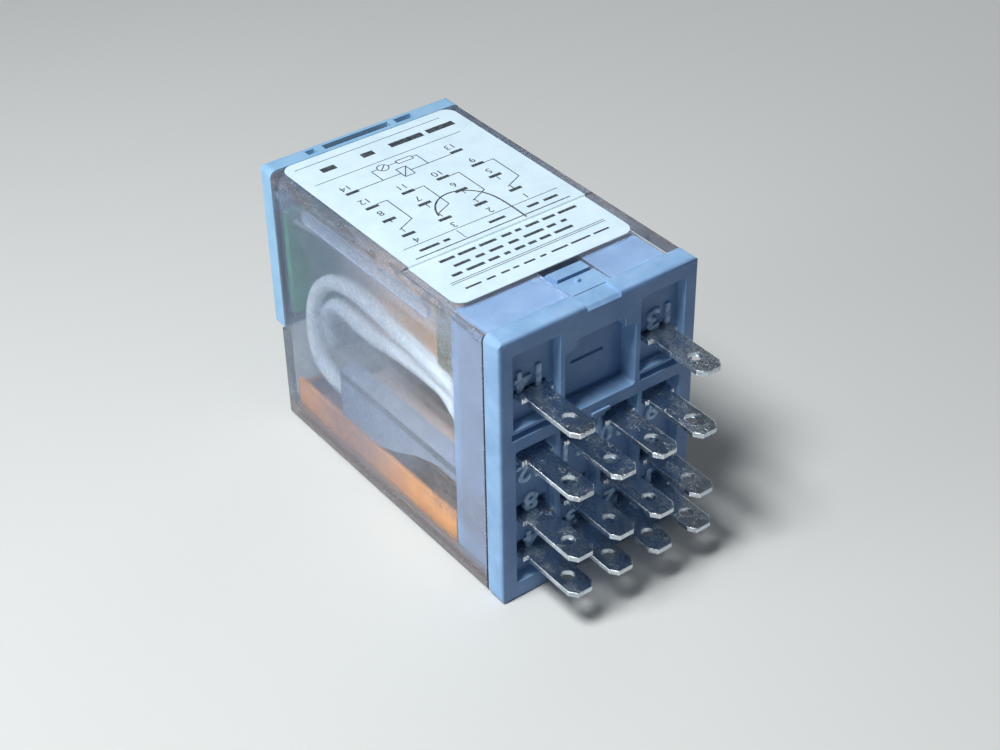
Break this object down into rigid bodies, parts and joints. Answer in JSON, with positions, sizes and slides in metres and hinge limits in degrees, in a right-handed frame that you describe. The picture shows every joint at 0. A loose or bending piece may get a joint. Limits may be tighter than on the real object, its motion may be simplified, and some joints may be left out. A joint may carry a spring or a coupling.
{
  "type": "control relay",
  "caption": "Plug-in control relay with a clear cover, blue-grey base, printed label, blade terminals with eyelets, and a changeover mechanism seen through the cover.",
  "frame": {"origin": "middle of the bottom of the whole part's box, on the resting face", "axes": "+X out of the socket face along the blades, +Y across the relay, +Z from the resting face up to the label"},
  "size_m": [0.042, 0.0208, 0.0274],
  "materials": {
    "base_plastic": "satin",
    "clear_plastic": "gloss",
    "label_film": "satin",
    "frame_plastic": "satin",
    "lever_plastic": "satin",
    "board_laminate": "gloss",
    "led_resin": "gloss",
    "resistor_body": "gloss",
    "diode_body": "gloss",
    "bobbin_plastic": "satin",
    "coil_tape": "satin",
    "iron": "satin",
    "spring_steel": "gloss",
    "leaf_bronze": "satin",
    "tin_plate": "satin",
    "lead_sleeve": "satin",
    "wire_sleeve": "gloss",
    "enamelled_wire": "gloss",
    "barrier_plastic": "satin",
    "tray_plastic": "satin"
  },
  "bodies": {
    "housing": {"base": "base_plastic", "cover": "clear_plastic", "label": "label_film", "end_frame": "frame_plastic", "led_board": "board_laminate", "led": "led_resin", "resistor": "resistor_body", "diode": "diode_body", "bobbin": "bobbin_plastic", "winding": "coil_tape", "core": "iron", "yoke": "iron", "pole_piece": "iron", "return_spring": "spring_steel", "terminal_1": "tin_plate", "terminal_2": "tin_plate", "terminal_3": "tin_plate", "terminal_4": "tin_plate", "terminal_5": "tin_plate", "terminal_6": "tin_plate", "terminal_7": "tin_plate", "terminal_8": "tin_plate", "terminal_9": "tin_plate", "terminal_10": "tin_plate", "terminal_11": "tin_plate", "terminal_12": "tin_plate", "terminal_13": "tin_plate", "terminal_14": "tin_plate", "lead_9": "lead_sleeve", "lead_10": "lead_sleeve", "lead_11": "lead_sleeve", "lead_12": "lead_sleeve", "board_wire_13": "wire_sleeve", "board_wire_14": "wire_sleeve", "coil_wire_13": "enamelled_wire", "coil_wire_14": "enamelled_wire", "coil_barrier": "barrier_plastic", "contact_tray": "tray_plastic"},
    "armature": {"armature": "iron", "contact_carrier": "bobbin_plastic", "moving_spring_1": "leaf_bronze", "moving_spring_2": "leaf_bronze", "moving_spring_3": "leaf_bronze", "moving_spring_4": "leaf_bronze"},
    "test_lever": {"test_lever": "lever_plastic"}
  },
  "joints": [
    {"name": "armature_tilt", "type": "hinge", "parent": "housing", "child": "armature", "pos_m": [-0.0137, 0, 0.0105], "axis": [0, -1, 0], "range_deg": [0, 2.6], "stiffness_Nm_per_rad": 0.02, "springref_deg": -5.73, "deforming": ["return_spring"]},
    {"name": "lever_press", "type": "hinge", "parent": "housing", "child": "test_lever", "pos_m": [-0.02046, 0, 0.0129], "axis": [0, 1, 0], "range_deg": [0, 1.96]}
  ],
  "couplings": [
    {"joint": "lever_press", "follows": "armature_tilt", "ratio": 0.7513}
  ]
}
